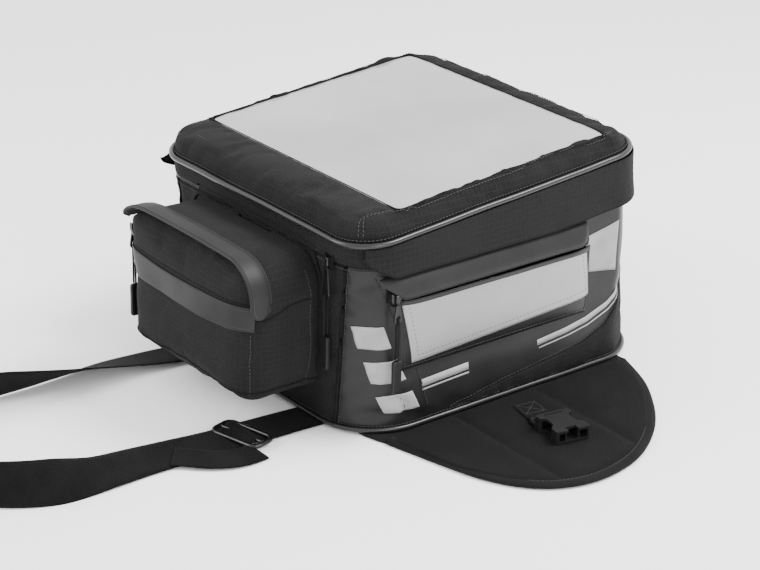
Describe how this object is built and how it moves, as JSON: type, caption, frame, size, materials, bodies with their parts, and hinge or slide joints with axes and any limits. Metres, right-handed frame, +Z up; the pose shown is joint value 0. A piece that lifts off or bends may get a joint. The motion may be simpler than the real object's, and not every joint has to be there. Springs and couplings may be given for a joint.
{
  "type": "tank bag",
  "caption": "Soft motorcycle tank bag with a zipped lid and clear map window, an outside pocket, hooded side pockets, magnetic wings and a headstock strap.",
  "frame": {"origin": "middle of the underside of the base", "axes": "+X to the side with the printed stripes, +Y to the rider, +Z up"},
  "size_m": [0.628, 0.6962, 0.2231],
  "materials": {
    "base_rubber": "matte, lightly grained",
    "piping": "satin",
    "board": "matte",
    "window": "clear flexible sheet",
    "smooth_cloth": "smooth coated cloth",
    "reflective": "silver reflective face",
    "zip_tape": "woven tape with coil teeth",
    "zip_metal": "satin black",
    "pull_cord": "braided",
    "toggle_rubber": "matte",
    "magnet": "plated",
    "webbing": "woven",
    "buckle_plastic": "moulded",
    "wire": "satin black",
    "binding": "folded tape",
    "body_cloth": "coarse ripstop weave"
  },
  "bodies": {
    "bag": {"base_panel": "base_rubber", "base_piping": "piping", "base_stiffener": "board", "front_panel": "body_cloth", "headstock_strap": "webbing", "lid_fold": "body_cloth", "main_zip_tape": "zip_tape", "pocket_band": "smooth_cloth", "pocket_body": "body_cloth", "pocket_zip": "zip_tape", "rear_handle": "smooth_cloth", "rear_panel": "body_cloth", "side_panel_left": "body_cloth", "side_panel_right": "body_cloth", "side_pocket_left": "reflective", "side_pocket_right": "reflective", "side_zip_left": "zip_tape", "side_zip_right": "zip_tape", "wing_root_left": "body_cloth", "wing_root_right": "body_cloth"},
    "lid": {"lid_band": "body_cloth", "lid_piping": "piping", "lid_panel": "body_cloth", "map_window": "window", "lid_board": "board", "lid_skirt": "smooth_cloth"},
    "main_slider": {"main_slider": "zip_metal"},
    "main_pull": {"main_puller": "zip_metal", "main_cord": "pull_cord", "main_toggle": "toggle_rubber"},
    "pocket_flap": {"pocket_flap": "body_cloth"},
    "pocket_storm_flap": {"pocket_storm_flap": "smooth_cloth"},
    "pocket_slider": {"pocket_slider": "zip_metal"},
    "pocket_pull": {"pocket_puller": "zip_metal", "pocket_cord": "pull_cord", "pocket_toggle": "toggle_rubber"},
    "strap_glide": {"strap_glide": "wire", "strap_tail": "webbing"},
    "hood_right": {"hood_right": "smooth_cloth"},
    "side_slider_right": {"side_slider_right": "zip_metal"},
    "side_pull_right": {"side_puller_right": "zip_metal", "side_cord_right": "pull_cord", "side_toggle_right": "toggle_rubber"},
    "wing_right": {"wing_base_right": "base_rubber", "wing_pad_right": "body_cloth", "wing_binding_right": "binding", "magnets_right": "magnet", "buckle_tab_right": "webbing"},
    "buckle_right": {"buckle_right": "buckle_plastic"},
    "hood_left": {"hood_left": "smooth_cloth"},
    "side_slider_left": {"side_slider_left": "zip_metal"},
    "side_pull_left": {"side_puller_left": "zip_metal", "side_cord_left": "pull_cord", "side_toggle_left": "toggle_rubber"},
    "wing_left": {"wing_base_left": "base_rubber", "wing_pad_left": "body_cloth", "wing_binding_left": "binding", "magnets_left": "magnet", "buckle_tab_left": "webbing"},
    "buckle_left": {"buckle_left": "buckle_plastic"}
  },
  "joints": [
    {"name": "lid_hinge", "type": "hinge", "parent": "bag", "child": "lid", "pos_m": [0, -0.15531, 0.16485], "axis": [1, 0, 0], "range_deg": [0, 90]},
    {"name": "main_zip_slide", "type": "slide", "parent": "bag", "child": "main_slider", "axis": [1, 0, 0], "range_m": [-0.004, 0.004]},
    {"name": "main_pull_swing", "type": "hinge", "parent": "main_slider", "child": "main_pull", "pos_m": [0.109, -0.1615, 0.153], "axis": [-1, 0, 0], "range_deg": [0, 90]},
    {"name": "pocket_flap_hinge", "type": "hinge", "parent": "bag", "child": "pocket_flap", "pos_m": [0, -0.228, 0.1275], "axis": [1, 0, 0], "range_deg": [0, 85]},
    {"name": "pocket_storm_flap_hinge", "type": "hinge", "parent": "bag", "child": "pocket_storm_flap", "pos_m": [0, -0.204, 0.163], "axis": [-1, 0, 0], "range_deg": [0, 90]},
    {"name": "pocket_zip_slide", "type": "slide", "parent": "bag", "child": "pocket_slider", "axis": [0, 0, 1], "range_m": [0, 0.008]},
    {"name": "pocket_pull_swing", "type": "hinge", "parent": "pocket_slider", "child": "pocket_pull", "pos_m": [-0.0989, -0.2178, 0.1288], "axis": [0, 1, 0], "range_deg": [0, 110]},
    {"name": "hood_right_hinge", "type": "hinge", "parent": "bag", "child": "hood_right", "pos_m": [0.1494, 0, 0.1495], "axis": [0, -1, 0], "range_deg": [0, 30]},
    {"name": "side_zip_right_slide", "type": "slide", "parent": "bag", "child": "side_slider_right", "axis": [0, 1, 0], "range_m": [0, 0.19]},
    {"name": "side_pull_right_swing", "type": "hinge", "parent": "side_slider_right", "child": "side_pull_right", "pos_m": [0.1582, -0.124, 0.1265], "axis": [0, -1, 0], "range_deg": [0, 105]},
    {"name": "wing_right_fold", "type": "hinge", "parent": "bag", "child": "wing_right", "pos_m": [0.1534, 0, 0.0024], "axis": [0, -1, 0], "range_deg": [-45, 60]},
    {"name": "buckle_right_tilt", "type": "hinge", "parent": "wing_right", "child": "buckle_right", "pos_m": [0.209, -0.001, 0.0082], "axis": [-0.1736, -0.9848, 0], "range_deg": [0, 30]},
    {"name": "hood_left_hinge", "type": "hinge", "parent": "bag", "child": "hood_left", "pos_m": [-0.1494, 0, 0.1495], "axis": [0, 1, 0], "range_deg": [0, 30]},
    {"name": "side_zip_left_slide", "type": "slide", "parent": "bag", "child": "side_slider_left", "axis": [0, 1, 0], "range_m": [0, 0.19]},
    {"name": "side_pull_left_swing", "type": "hinge", "parent": "side_slider_left", "child": "side_pull_left", "pos_m": [-0.1582, -0.124, 0.1265], "axis": [0, 1, 0], "range_deg": [0, 105]},
    {"name": "wing_left_fold", "type": "hinge", "parent": "bag", "child": "wing_left", "pos_m": [-0.1534, 0, 0.0024], "axis": [0, 1, 0], "range_deg": [-45, 60]},
    {"name": "buckle_left_tilt", "type": "hinge", "parent": "wing_left", "child": "buckle_left", "pos_m": [-0.209, -0.001, 0.0082], "axis": [-0.1736, 0.9848, 0], "range_deg": [0, 30]},
    {"name": "strap_glide_slide", "type": "slide", "parent": "bag", "child": "strap_glide", "axis": [0.04, -0.9992, 0], "range_m": [-0.02, 0.02]}
  ],
  "couplings": [
    {"joint": "pocket_storm_flap_hinge", "follows": "pocket_flap_hinge", "ratio": 1.05}
  ]
}
